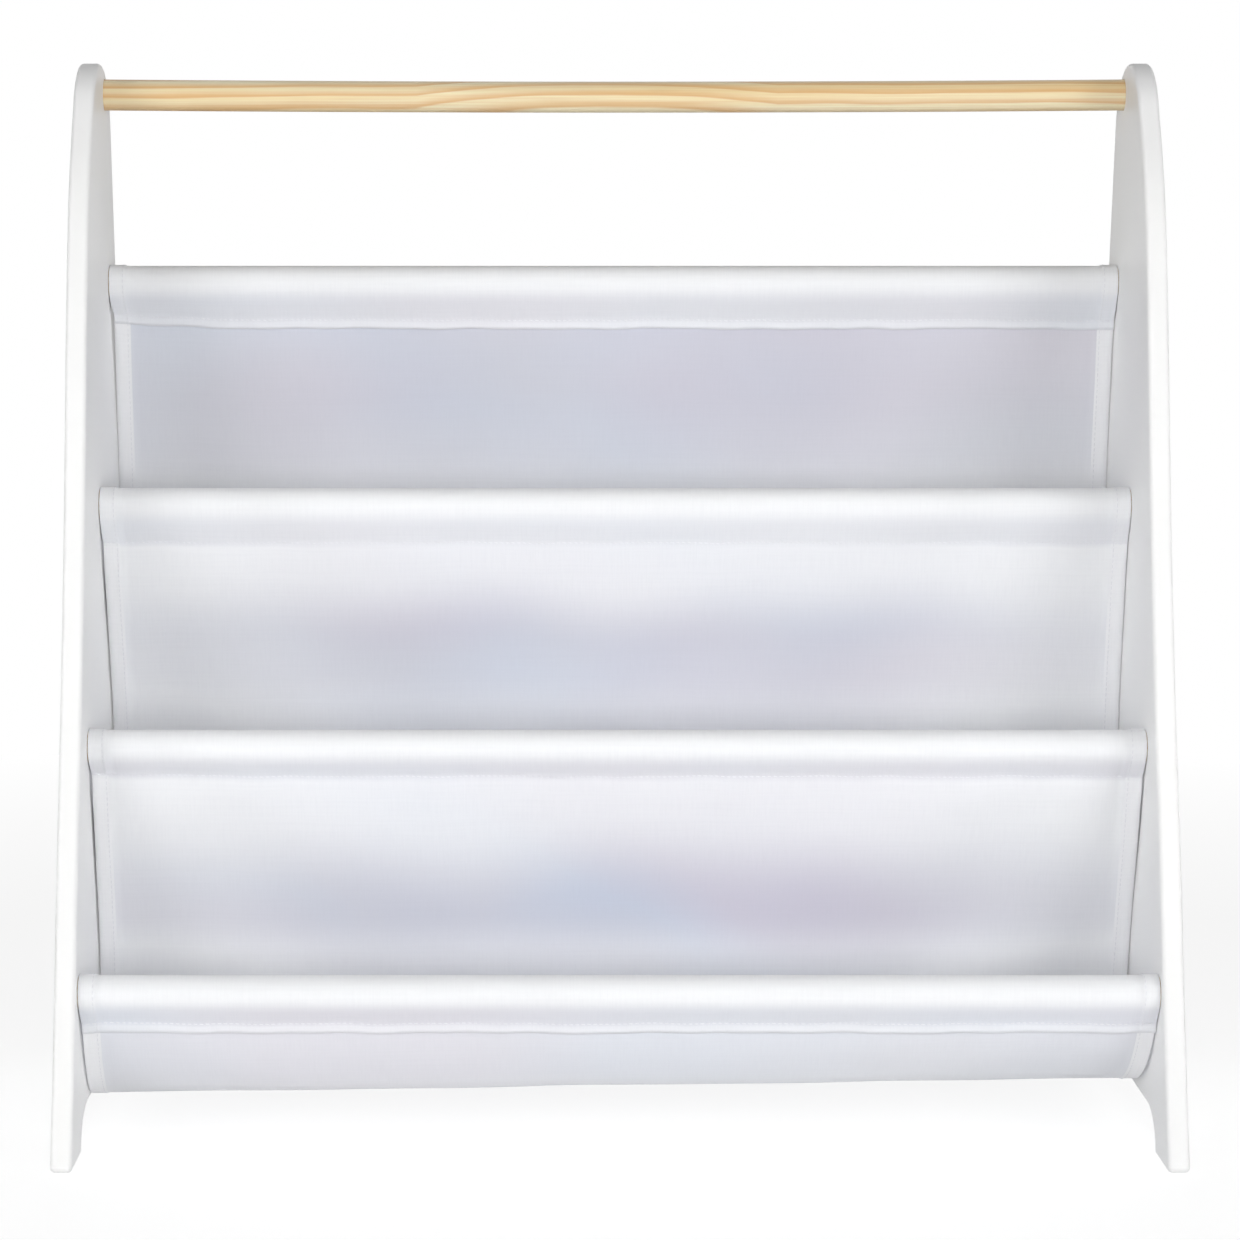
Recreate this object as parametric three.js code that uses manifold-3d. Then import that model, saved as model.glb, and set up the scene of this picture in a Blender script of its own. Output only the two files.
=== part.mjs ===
// Sling bookshelf for children: two side panels, a bare handle rod and four rods that carry a sewn sling.
// Millimetres, +Z up, front towards -Y, origin on the floor at the middle of the footprint.
import * as THREE from 'three';
import { mergeVertices } from 'three/addons/utils/BufferGeometryUtils.js';
import Module from 'manifold-3d';

const { lerp, degToRad } = THREE.MathUtils;
const wasm = await Module();
wasm.setup();

// Whole shelf
const WIDTH = 620;
const DEPTH = 280;
const HEIGHT = 605;

// Clearance round turned, cut and soft pieces, and the overrun of every cut
const CLEARANCE = 0.3;
const OVERRUN = 1;

// Side panels: painted board with rounded edges
const PANEL_THICKNESS = 12;
const PANEL_EDGE_ROUND = 2.5;
const FOOT_LENGTH = 45;
const FOOT_CORNER_RADIUS = 4;
const ARCH_HEIGHT = 21;
const ARCH_SHOULDER = 30;
const CROWN_RADIUS = 46;

// The crown's centre, and the points that the two long edges pass, as shares of the depth and the height
const CROWN_DEPTH_SHARE = 0.739;
const FRONT_EDGE_SHARES = [
  [0.495, 0.872],
  [0.425, 0.75],
  [0.35, 0.575],
  [0.26, 0.41],
  [0.165, 0.27],
  [0.07, 0.11],
];
const REAR_EDGE_SHARES = [
  [1, 0.6],
  [0.985, 0.715],
  [0.955, 0.812],
];

// Angles on the crown, from straight back and counted up, where the rear edge ends and the front edge starts
const CROWN_REAR_ANGLE = degToRad(10);
const CROWN_FRONT_ANGLE = degToRad(150);

// Rods: one diameter, seated in shallow sockets in the panels, placed as shares of the depth and the height
const ROD_DIAMETER = 18;
const ROD_EDGE_BREAK = 0.8;
const SOCKET_DEPTH = 3;
const HANDLE_PLACE_SHARE = [0.793, 0.971];
const SLING_ROD_PLACE_SHARES = [
  [0.843, 0.79],
  [0.621, 0.58],
  [0.368, 0.363],
  [0.154, 0.151],
];

// Connector bolts, inserts and cover caps
const BOLT_DIAMETER = 6;
const BOLT_LENGTH = 25;
const BOLT_HEAD_DIAMETER = 13;
const BOLT_HEAD_THICKNESS = 2.2;
const BOLT_KEY_SIZE = 4;
const BOLT_KEY_DEPTH = 1.6;
const INSERT_WALL = 1.4;
const INSERT_LENGTH = 15;
const INSERT_RECESS = 1;
const BORE_SPARE = 3;
const CAP_THICKNESS = 1.2;
const CAP_INSET = 0.2;
const CAP_CHAMFER = 0.4;

// Sling cloth: its thickness, its gap to the panels and the width of a seam
const CLOTH = 0.8;
const CLOTH_SIDE_GAP = 0.6;
const STITCH_WIDTH = 2;

// The stitched tail of each sleeve, from the top rod down: how far it lies behind and below the rod's centre
const TAIL_LEANS = [3, 1.5, 1, 1.5];
const TAIL_DROPS = [22.4, 22.2, 17, 17.7];

// Pockets, from the top down: how far each belly falls behind its rear rod, and its change to either end
const BELLY_RUNS = [32, 35, 38];
const BELLY_SKEWS = [-5, -12, 4];

// How far a belly and a bottom lie below the front rod
const BELLY_DROP = 31;
const POCKET_DROP = 67.5;

// Where a pocket's curves bend, as shares of the run and the fall between their ends
const BOTTOM_PLACE_SHARE = 0.6;
const WALL_TOP_RUN_SHARE = 0.05;
const WALL_TOP_FALL_SHARE = 0.26;
const WALL_FOOT_SHARE = 0.4;
const BELLY_CURVE_SHARE = 0.55;
const FRONT_FOOT_SHARE = 0.42;
const FRONT_TOP_RUN_SHARE = 0.84;
const FRONT_TOP_RISE_SHARE = 0.5;

// The hung cloth's slow folds: the left end hangs lower than the right, and the walls swell in waves
const POCKET_SKEW = 2.8;
const WALL_WAVE = 1.6;
const WALL_WAVES = 2.5;

// Counts of facets
const ROD_SIDES = 28;
const SMALL_SIDES = 16;
const INSERT_SIDES = 12;
const HEX_SIDES = 6;
const EDGE_ROUND_STEPS = 2;
const EDGE_STEPS = 4;
const CROWN_STEPS = 14;
const CORNER_STEPS = 2;
const ARCH_STEPS = 6;
const SLEEVE_STEPS = 26;
const WALL_STEPS = 9;
const BOTTOM_STEPS = 7;
const FRONT_STEPS = 8;
const CLOTH_STATIONS = 11;

// Sizes that follow from the ones above
const INNER_FACE = WIDTH / 2 - PANEL_THICKNESS;
const ROD_RADIUS = ROD_DIAMETER / 2;
const ROD_LENGTH = 2 * (INNER_FACE + SOCKET_DEPTH);
const SOCKET_RADIUS = ROD_RADIUS + CLEARANCE;
const COUNTERBORE_DEPTH = BOLT_HEAD_THICKNESS + CAP_THICKNESS + CAP_INSET;
const COUNTERBORE_RADIUS = BOLT_HEAD_DIAMETER / 2 + CLEARANCE;
const BOLT_HOLE_RADIUS = BOLT_DIAMETER / 2 + CLEARANCE;
const HEAD_SEAT = PANEL_THICKNESS - COUNTERBORE_DEPTH;
const INSERT_RADIUS = BOLT_HOLE_RADIUS + INSERT_WALL;
const ROD_BORE_RADIUS = INSERT_RADIUS + CLEARANCE;
const BOLT_REACH = BOLT_LENGTH - (HEAD_SEAT - SOCKET_DEPTH);
const ROD_BORE_DEPTH = Math.max(BOLT_REACH, INSERT_RECESS + INSERT_LENGTH) + BORE_SPARE;
const SLEEVE_INNER_RADIUS = ROD_RADIUS + CLEARANCE;
const SLEEVE_OUTER_RADIUS = SLEEVE_INNER_RADIUS + CLOTH;
const SLING_HALF_WIDTH = INNER_FACE - CLOTH_SIDE_GAP;

// A share of the depth and the height becomes a place with y from the middle and z from the floor.
function place([depthShare, heightShare]) {
  return new THREE.Vector2(depthShare * DEPTH - DEPTH / 2, heightShare * HEIGHT);
}

const HANDLE = place(HANDLE_PLACE_SHARE);
const SLING_RODS = SLING_ROD_PLACE_SHARES.map(place);
const TAILS = TAIL_LEANS.map((lean, index) => new THREE.Vector2(lean, -TAIL_DROPS[index]));

// Materials
function finish(color, roughness, metalness = 0) {
  return new THREE.MeshStandardMaterial({ color, roughness, metalness });
}
const PAINTED_BOARD = finish(0xf4f4f3, 0.45);
const PINE = finish(0xe6cc98, 0.5);
const STEEL = finish(0xb4b6b9, 0.35, 1);
const ZINC = finish(0xc6c2b4, 0.4, 1);
const CAP_PLASTIC = finish(0xf2f2f1, 0.4);
const SLING_CLOTH = finish(0xe9ebf1, 0.9);

// A geometry becomes a solid for cutting: only its places are kept, shared and without slivers.
function toSolid(geometry) {
  const bare = geometry.index ? geometry.toNonIndexed() : geometry.clone();
  bare.deleteAttribute('normal');
  bare.deleteAttribute('uv');
  const merged = mergeVertices(bare);
  const corners = merged.index.array;
  const kept = [];
  for (let i = 0; i < corners.length; i += 3) {
    const [a, b, c] = [corners[i], corners[i + 1], corners[i + 2]];
    if (a !== b && b !== c && c !== a) kept.push(a, b, c);
  }
  const mesh = new wasm.Mesh({
    numProp: 3,
    vertProperties: merged.attributes.position.array,
    triVerts: new Uint32Array(kept),
  });
  return new wasm.Manifold(mesh);
}

function toGeometry(solid) {
  const mesh = solid.getMesh();
  const geometry = new THREE.BufferGeometry();
  geometry.setAttribute('position', new THREE.BufferAttribute(mesh.vertProperties, 3));
  geometry.setIndex(new THREE.BufferAttribute(mesh.triVerts, 1));
  geometry.computeVertexNormals();
  return geometry;
}

// A profile of [radius, distance] points, turned about the x axis.
function turned(profile, sides) {
  const points = profile.map(([radius, along]) => new THREE.Vector2(radius, along));
  return new THREE.LatheGeometry(points, sides).rotateZ(-Math.PI / 2);
}

function disc(radius, from, to, sides) {
  return turned([[0, from], [radius, from], [radius, to], [0, to]], sides);
}

// An outline drawn in y and z is pushed along x, and its start lies at x = 0.
function pushedAlongX(shape, options) {
  const turn = new THREE.Matrix4().makeBasis(
    new THREE.Vector3(0, 1, 0),
    new THREE.Vector3(0, 0, 1),
    new THREE.Vector3(1, 0, 0),
  );
  return new THREE.ExtrudeGeometry(shape, options).applyMatrix4(turn);
}

function part(name, geometry, material) {
  const mesh = new THREE.Mesh(geometry, material);
  mesh.name = name;
  return mesh;
}

// Points on a stretch of a circle or an ellipse
function arc(centreY, centreZ, radiusY, radiusZ, from, to, steps) {
  const clockwise = to < from;
  return new THREE.EllipseCurve(centreY, centreZ, radiusY, radiusZ, from, to, clockwise).getPoints(steps);
}

// Side panel outline, counter-clockwise from the front foot's toe
function panelOutline() {
  const front = -DEPTH / 2;
  const rear = DEPTH / 2;
  const corner = FOOT_CORNER_RADIUS;
  const crown = new THREE.Vector2(CROWN_DEPTH_SHARE * DEPTH - DEPTH / 2, HEIGHT - CROWN_RADIUS);
  const frontShoulder = front + FOOT_LENGTH + ARCH_SHOULDER;
  const rearShoulder = rear - FOOT_LENGTH - ARCH_SHOULDER;
  const shoulder = [ARCH_SHOULDER, ARCH_HEIGHT];

  const toe = arc(front + corner, corner, corner, corner, Math.PI, 1.5 * Math.PI, CORNER_STEPS);
  const archFront = arc(frontShoulder, 0, ...shoulder, Math.PI, Math.PI / 2, ARCH_STEPS);
  const archRear = arc(rearShoulder, 0, ...shoulder, Math.PI / 2, 0, ARCH_STEPS);
  const heel = arc(rear - corner, corner, corner, corner, 1.5 * Math.PI, 2 * Math.PI, CORNER_STEPS);
  const top = arc(
    crown.x, crown.y, CROWN_RADIUS, CROWN_RADIUS, CROWN_REAR_ANGLE, CROWN_FRONT_ANGLE, CROWN_STEPS,
  );
  const rearPoints = [...REAR_EDGE_SHARES.map(place), top[0]];
  const frontPoints = [top[top.length - 1], ...FRONT_EDGE_SHARES.map(place), toe[0]];
  const rearEdge = new THREE.SplineCurve(rearPoints).getPoints(EDGE_STEPS * (rearPoints.length - 1));
  const frontEdge = new THREE.SplineCurve(frontPoints).getPoints(EDGE_STEPS * (frontPoints.length - 1));
  const foot = [...toe, ...archFront, ...archRear, ...heel];
  return [...foot, ...rearEdge, ...top.slice(1), ...frontEdge.slice(1, -1)];
}

// The panel is drawn with its inner face at x = 0 and its outer face at its thickness.
function panelGeometry() {
  const board = toSolid(
    pushedAlongX(new THREE.Shape(panelOutline()), {
      depth: PANEL_THICKNESS - 2 * PANEL_EDGE_ROUND,
      bevelThickness: PANEL_EDGE_ROUND,
      bevelSize: PANEL_EDGE_ROUND,
      bevelOffset: -PANEL_EDGE_ROUND,
      bevelSegments: EDGE_ROUND_STEPS,
    }).translate(PANEL_EDGE_ROUND, 0, 0),
  );
  let cut = board;
  for (const rod of [HANDLE, ...SLING_RODS]) {
    const socket = disc(SOCKET_RADIUS, -OVERRUN, SOCKET_DEPTH, ROD_SIDES);
    const hole = disc(BOLT_HOLE_RADIUS, -OVERRUN, PANEL_THICKNESS + OVERRUN, SMALL_SIDES);
    const counterbore = disc(COUNTERBORE_RADIUS, HEAD_SEAT, PANEL_THICKNESS + OVERRUN, SMALL_SIDES);
    for (const cutter of [socket, hole, counterbore]) {
      cut = cut.subtract(toSolid(cutter.translate(0, rod.x, rod.y)));
    }
  }
  return toGeometry(cut);
}

// The mirrored copy keeps its faces pointing out, because every triangle's turn is reversed.
function mirroredInX(geometry) {
  const mirrored = geometry.clone().scale(-1, 1, 1);
  const corners = mirrored.index.array;
  for (let i = 0; i < corners.length; i += 3) {
    [corners[i + 1], corners[i + 2]] = [corners[i + 2], corners[i + 1]];
  }
  mirrored.computeVertexNormals();
  return mirrored;
}

function makePanels() {
  const geometry = panelGeometry();
  const right = part('right_side_panel', geometry, PAINTED_BOARD);
  right.position.x = INNER_FACE;
  const left = part('left_side_panel', mirroredInX(geometry), PAINTED_BOARD);
  left.position.x = -INNER_FACE;
  return [left, right];
}

// Rods: dowels with a broken edge and a blind bore for an insert at each end
function rodGeometry() {
  const half = ROD_LENGTH / 2;
  const rim = ROD_RADIUS - ROD_EDGE_BREAK;
  const boreFloor = half - ROD_BORE_DEPTH;
  const profile = [
    [0, -boreFloor],
    [ROD_BORE_RADIUS, -boreFloor],
    [ROD_BORE_RADIUS, -half],
    [rim, -half],
    [ROD_RADIUS, -half + ROD_EDGE_BREAK],
    [ROD_RADIUS, half - ROD_EDGE_BREAK],
    [rim, half],
    [ROD_BORE_RADIUS, half],
    [ROD_BORE_RADIUS, boreFloor],
    [0, boreFloor],
  ];
  return turned(profile, ROD_SIDES);
}

function makeRod(name, at, material) {
  const rod = part(name, rodGeometry(), material);
  rod.position.set(0, at.x, at.y);
  return rod;
}

// Bolt, insert and cap are drawn from the panel's inner face at x = 0, with +x pointing out of the shelf.
function boltGeometry() {
  const radius = BOLT_DIAMETER / 2;
  const head = BOLT_HEAD_DIAMETER / 2;
  const top = HEAD_SEAT + BOLT_HEAD_THICKNESS;
  const tip = HEAD_SEAT - BOLT_LENGTH;
  const profile = [
    [0, tip],
    [radius, tip],
    [radius, HEAD_SEAT],
    [head, HEAD_SEAT],
    [head, top],
    [0, top],
  ];
  const body = turned(profile, SMALL_SIDES);
  const keyRadius = BOLT_KEY_SIZE / Math.sqrt(3);
  const key = disc(keyRadius, top - BOLT_KEY_DEPTH, top + OVERRUN, HEX_SIDES);
  return toGeometry(toSolid(body).subtract(toSolid(key)));
}

function insertGeometry() {
  const outer = SOCKET_DEPTH - INSERT_RECESS;
  const inner = outer - INSERT_LENGTH;
  const profile = [
    [BOLT_HOLE_RADIUS, inner],
    [INSERT_RADIUS, inner],
    [INSERT_RADIUS, outer],
    [BOLT_HOLE_RADIUS, outer],
    [BOLT_HOLE_RADIUS, inner],
  ];
  return turned(profile, INSERT_SIDES);
}

function capGeometry() {
  const radius = COUNTERBORE_RADIUS - CLEARANCE;
  const inner = HEAD_SEAT + BOLT_HEAD_THICKNESS;
  const outer = inner + CAP_THICKNESS;
  const profile = [
    [0, inner],
    [radius, inner],
    [radius, outer - CAP_CHAMFER],
    [radius - CAP_CHAMFER, outer],
    [0, outer],
  ];
  return turned(profile, SMALL_SIDES);
}

function makeFasteners(name, at) {
  const group = new THREE.Group();
  for (const [side, sign] of [['left', -1], ['right', 1]]) {
    const end = new THREE.Group();
    end.add(part(`bolt_${name}_${side}`, boltGeometry(), STEEL));
    end.add(part(`insert_${name}_${side}`, insertGeometry(), ZINC));
    end.add(part(`cap_${name}_${side}`, capGeometry(), CAP_PLASTIC));
    end.position.set(sign * INNER_FACE, at.x, at.y);
    end.rotation.z = sign < 0 ? Math.PI : 0;
    group.add(end);
  }
  return group;
}

// A teardrop round a circle at the origin: down to the tail's two corners, which lie a gap apart
function teardrop(radius, tail, tailHalfWidth, steps) {
  const rear = new THREE.Vector2(tail.x + tailHalfWidth, tail.y);
  const front = new THREE.Vector2(tail.x - tailHalfWidth, tail.y);
  const rearAngle = Math.atan2(rear.y, rear.x) + Math.acos(radius / rear.length());
  const frontAngle = Math.atan2(front.y, front.x) - Math.acos(radius / front.length()) + 2 * Math.PI;
  const round = arc(0, 0, radius, radius, rearAngle, frontAngle, steps);
  return tailHalfWidth > 0 ? [...round, front, rear] : [...round, rear];
}

function sleeveGeometry(tail) {
  const shape = new THREE.Shape(teardrop(SLEEVE_OUTER_RADIUS, tail, CLOTH, SLEEVE_STEPS));
  const innerTail = tail.clone().multiplyScalar(1 - STITCH_WIDTH / tail.length());
  shape.holes.push(new THREE.Path(teardrop(SLEEVE_INNER_RADIUS, innerTail, 0, SLEEVE_STEPS).reverse()));
  return pushedAlongX(shape, { depth: 2 * SLING_HALF_WIDTH, bevelEnabled: false })
    .translate(-SLING_HALF_WIDTH, 0, 0);
}

function makeSleeve(index) {
  const sleeve = part(`sling_sleeve_${index + 1}`, sleeveGeometry(TAILS[index]), SLING_CLOTH);
  sleeve.position.set(0, SLING_RODS[index].x, SLING_RODS[index].y);
  return sleeve;
}

// The middle line of a pocket's cloth at one station, from the rear rod's tail to the front rod's tail
function pocketLine(index, station) {
  const rear = SLING_RODS[index];
  const front = SLING_RODS[index + 1];
  const wave = WALL_WAVE * Math.cos(WALL_WAVES * Math.PI * station);
  const run = BELLY_RUNS[index] + BELLY_SKEWS[index] * station + wave;
  const layer = (CLOTH + CLEARANCE) / 2;
  const start = rear.clone().add(TAILS[index]).add(new THREE.Vector2(-layer, -CLEARANCE));
  const end = front.clone().add(TAILS[index + 1]).add(new THREE.Vector2(layer, -CLEARANCE));
  const belly = new THREE.Vector2(rear.x + run, front.y - BELLY_DROP);
  const bottom = new THREE.Vector2(
    lerp(end.x, belly.x, BOTTOM_PLACE_SHARE),
    front.y - POCKET_DROP + CLOTH / 2 + POCKET_SKEW * station,
  );
  const fall = start.y - belly.y;
  const wall = new THREE.CubicBezierCurve(
    start,
    new THREE.Vector2(start.x + fall * WALL_TOP_RUN_SHARE, start.y - fall * WALL_TOP_FALL_SHARE),
    new THREE.Vector2(belly.x, belly.y + fall * WALL_FOOT_SHARE),
    belly,
  );
  const under = new THREE.CubicBezierCurve(
    belly,
    new THREE.Vector2(belly.x, lerp(belly.y, bottom.y, BELLY_CURVE_SHARE)),
    new THREE.Vector2(lerp(bottom.x, belly.x, BELLY_CURVE_SHARE), bottom.y),
    bottom,
  );
  const up = new THREE.CubicBezierCurve(
    bottom,
    new THREE.Vector2(lerp(bottom.x, end.x, FRONT_FOOT_SHARE), bottom.y),
    new THREE.Vector2(
      lerp(bottom.x, end.x, FRONT_TOP_RUN_SHARE),
      lerp(bottom.y, end.y, FRONT_TOP_RISE_SHARE),
    ),
    end,
  );
  return [
    ...wall.getPoints(WALL_STEPS),
    ...under.getPoints(BOTTOM_STEPS).slice(1),
    ...up.getPoints(FRONT_STEPS).slice(1),
  ];
}

// The closed section of a pocket at one station: its inner side there, then its outer side back
function pocketSection(line) {
  const inner = [];
  const outer = [];
  line.forEach((point, i) => {
    const before = line[Math.max(i - 1, 0)];
    const after = line[Math.min(i + 1, line.length - 1)];
    const along = after.clone().sub(before).normalize();
    const across = new THREE.Vector2(along.y, -along.x).multiplyScalar(CLOTH / 2);
    inner.push(point.clone().add(across));
    outer.unshift(point.clone().sub(across));
  });
  return [...inner, ...outer];
}

// Sections in a row become one closed cloth: a skin round them, and a strip of faces at each side edge.
function pocketGeometry(index) {
  const sections = [];
  for (let i = 0; i < CLOTH_STATIONS; i += 1) {
    const station = (2 * i) / (CLOTH_STATIONS - 1) - 1;
    const section = pocketSection(pocketLine(index, station));
    sections.push(section.map((point) => [station * SLING_HALF_WIDTH, point.x, point.y]));
  }
  const size = sections[0].length;
  const last = CLOTH_STATIONS - 1;
  const corners = [];
  const quad = (a, b, c, d) => corners.push(a, b, c, a, c, d);
  for (let i = 0; i < last; i += 1) {
    for (let j = 0; j < size; j += 1) {
      const next = (j + 1) % size;
      quad(i * size + j, i * size + next, (i + 1) * size + next, (i + 1) * size + j);
    }
  }
  for (let j = 0; j < size / 2 - 1; j += 1) {
    const [a, b, c, d] = [j, j + 1, size - 2 - j, size - 1 - j];
    quad(a, d, c, b);
    quad(last * size + a, last * size + b, last * size + c, last * size + d);
  }
  const geometry = new THREE.BufferGeometry();
  geometry.setAttribute('position', new THREE.Float32BufferAttribute(sections.flat(2), 3));
  geometry.setIndex(corners);
  geometry.computeVertexNormals();
  return geometry;
}

function makePocket(index) {
  return part(`sling_pocket_${index + 1}`, pocketGeometry(index), SLING_CLOTH);
}

// The whole shelf
const shelf = new THREE.Group();
shelf.add(...makePanels());
shelf.add(makeRod('handle_rod', HANDLE, PINE));
shelf.add(makeFasteners('handle', HANDLE));
SLING_RODS.forEach((rod, index) => {
  const number = index + 1;
  shelf.add(makeRod(`sling_rod_${number}`, rod, PINE));
  shelf.add(makeFasteners(`rod_${number}`, rod));
  shelf.add(makeSleeve(index));
  if (number < SLING_RODS.length) shelf.add(makePocket(index));
});

export default shelf;
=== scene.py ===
# Sling bookshelf for children: the looks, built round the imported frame.
# Metres, +Z up, front towards -Y, origin on the floor at the middle of the footprint.
import math

import bmesh
import bpy
import numpy as np
from mathutils import Matrix, Vector


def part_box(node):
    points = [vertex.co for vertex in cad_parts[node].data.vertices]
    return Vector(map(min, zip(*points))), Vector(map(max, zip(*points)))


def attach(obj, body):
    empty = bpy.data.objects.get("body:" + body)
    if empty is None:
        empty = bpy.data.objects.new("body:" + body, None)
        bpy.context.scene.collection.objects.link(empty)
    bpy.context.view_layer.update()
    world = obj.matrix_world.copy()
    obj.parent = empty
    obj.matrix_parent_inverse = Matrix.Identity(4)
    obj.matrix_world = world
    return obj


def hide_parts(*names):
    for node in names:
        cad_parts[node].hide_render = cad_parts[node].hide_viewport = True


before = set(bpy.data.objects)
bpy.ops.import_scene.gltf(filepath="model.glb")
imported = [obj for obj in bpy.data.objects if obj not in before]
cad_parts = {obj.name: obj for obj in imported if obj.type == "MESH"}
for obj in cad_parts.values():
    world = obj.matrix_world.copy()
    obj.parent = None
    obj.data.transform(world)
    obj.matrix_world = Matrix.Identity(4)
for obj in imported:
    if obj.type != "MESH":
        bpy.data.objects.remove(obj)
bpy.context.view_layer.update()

MM = 0.001

# Camera, fitted to the photograph's perspective. It looks straight at the front, tipped a little down, and the
# photograph's middle lies beside the axis that it looks along.
PHOTO_PIXELS = 1240
FOCAL_PIXELS = 3735
CROP_SHIFT_PIXELS = 83
SENSOR_WIDTH_MM = 36
CAMERA_PLACE = Vector((-0.0451, -2.1238, 0.5244))
CAMERA_DOWN = math.radians(6.365)


def new_object(name, data):
    made = bpy.data.objects.new(name, data)
    bpy.context.scene.collection.objects.link(made)
    return made


def make_camera():
    data = bpy.data.cameras.new("camera")
    data.sensor_width = SENSOR_WIDTH_MM
    data.lens = FOCAL_PIXELS / PHOTO_PIXELS * SENSOR_WIDTH_MM
    data.shift_x = CROP_SHIFT_PIXELS / PHOTO_PIXELS
    camera = new_object("camera", data)
    tilt = Matrix.Rotation(math.pi / 2 - CAMERA_DOWN, 4, "X")
    camera.matrix_world = Matrix.Translation(CAMERA_PLACE) @ tilt
    bpy.context.scene.camera = camera


def linear(red, green, blue):
    """The linear light that shaders take, by the sRGB curve, from a picture's values of 0 to 255."""
    shares = [value / 255 for value in (red, green, blue)]
    return (*[s / 12.92 if s <= 0.04045 else ((s + 0.055) / 1.055) ** 2.4 for s in shares], 1)


WHITE = (1, 1, 1, 1)


class Nodes:
    """A node tree, written as short calls."""

    def __init__(self, tree):
        self.tree = tree

    def put(self, node, name, value):
        socket = node.inputs[name]
        if isinstance(value, bpy.types.NodeSocket):
            self.tree.links.new(value, socket)
        else:
            socket.default_value = value

    def node(self, kind, inputs, output=0, **settings):
        made = self.tree.nodes.new(kind)
        for name, value in settings.items():
            setattr(made, name, value)
        for name, value in inputs.items():
            self.put(made, name, value)
        return made.outputs[output]

    def scaled(self, vector, x, y, z):
        return self.node("ShaderNodeVectorMath", {0: vector, 1: (x, y, z)}, operation="MULTIPLY")

    def moved(self, vector, x, y, z):
        return self.node("ShaderNodeVectorMath", {0: vector, 1: (x, y, z)}, operation="ADD")

    def parts(self, vector):
        made = self.tree.nodes.new("ShaderNodeSeparateXYZ")
        self.put(made, 0, vector)
        return made.outputs

    def math(self, operation, *values):
        return self.node("ShaderNodeMath", dict(enumerate(values)), operation=operation)

    def noise(self, vector, scale, detail=2.0, roughness=0.5):
        inputs = {"Vector": vector, "Scale": scale, "Detail": detail, "Roughness": roughness}
        return self.node("ShaderNodeTexNoise", inputs, "Fac")

    def streaks(self, vector, scales, detail=2.0, roughness=0.5):
        """Noise with its own scale along each axis."""
        return self.noise(self.scaled(vector, *scales), 1.0, detail, roughness)

    def spread(self, value, low, high, to_low=0.0, to_high=1.0):
        """value, from low to high, becomes to_low to to_high and stays between them."""
        inputs = {0: value, 1: low, 2: high, 3: to_low, 4: to_high}
        return self.node("ShaderNodeMapRange", inputs)

    def mixed(self, share, first, second):
        return self.node("ShaderNodeMix", {0: share, 6: first, 7: second}, 2, data_type="RGBA")

    def bump(self, height, depth, strength, below=None):
        inputs = {"Height": height, "Distance": depth, "Strength": strength}
        if below is not None:
            inputs["Normal"] = below
        return self.node("ShaderNodeBump", inputs)


class Recipe(Nodes):
    """A material, written as short calls round one Principled shader."""

    def __init__(self, name):
        self.material = bpy.data.materials.new(name)
        self.material.use_nodes = True
        super().__init__(self.material.node_tree)
        self.shader = self.tree.nodes["Principled BSDF"]

    def surface(self, **inputs):
        for name, value in inputs.items():
            self.put(self.shader, name.replace("_", " "), value)

    def place(self):
        return self.node("ShaderNodeTexCoord", {}, "Object")


# A noise lies round 0.5: the range over which it takes a tone from one colour to the next
NOISE_RANGE = (0.3, 0.7)

# Satin white paint on fibreboard: a fine orange peel, and a slight unevenness of tone and gloss
PAINT_TONES = (linear(251, 251, 250), linear(248, 248, 248))
PAINT_ROUGHNESS = (0.38, 0.48)
PEEL_DEPTH = 0.03 * MM
ROLLER_DEPTH = 0.08 * MM
ROLLER_STRETCH = (60.0, 60.0, 14.0)


def painted_board():
    r = Recipe("painted_board")
    place = r.place()
    cloud = r.noise(place, scale=9.0, detail=3.0)
    peel = r.noise(place, scale=900.0, roughness=0.55)
    roller = r.noise(r.scaled(place, *ROLLER_STRETCH), scale=4.0, detail=3.0)
    tone = r.mixed(r.spread(cloud, *NOISE_RANGE), *PAINT_TONES)
    gloss = r.spread(r.math("ADD", cloud, r.math("MULTIPLY", roller, 0.5)), 0.4, 1.1, *PAINT_ROUGHNESS)
    coarse = r.bump(roller, ROLLER_DEPTH, 0.35)
    r.surface(Base_Color=tone, Roughness=gloss, Normal=r.bump(peel, PEEL_DEPTH, 0.4, coarse))
    return r.material


# Pine: growth rings about a tree axis that runs nearly along the dowel, and fine streaks along the grain
RING_PITCH = 5.6 * MM
TREE_OFFSET = (14 * MM, 57 * MM)
TREE_TILT = (0.004, 0.006)
FLAME_PLACE = -10 * MM
FLAME_CURVE = 0.45
FLAME_LIMIT = 5 * MM
RING_DRIFT = 6 * MM
RING_RIPPLE = 0.9 * MM
PALE_WOOD = linear(250, 239, 204)
WARM_WOOD = linear(244, 219, 169)
LATE_WOOD = linear(224, 170, 104)
DARK_FIBRE = linear(190, 138, 84)
RING_STRENGTH = 0.68
STREAK_STRENGTH = 0.42
FIBRE_STRENGTH = 0.12
WOOD_ROUGHNESS = (0.36, 0.5)
WOOD_DEPTH = 0.04 * MM


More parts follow.
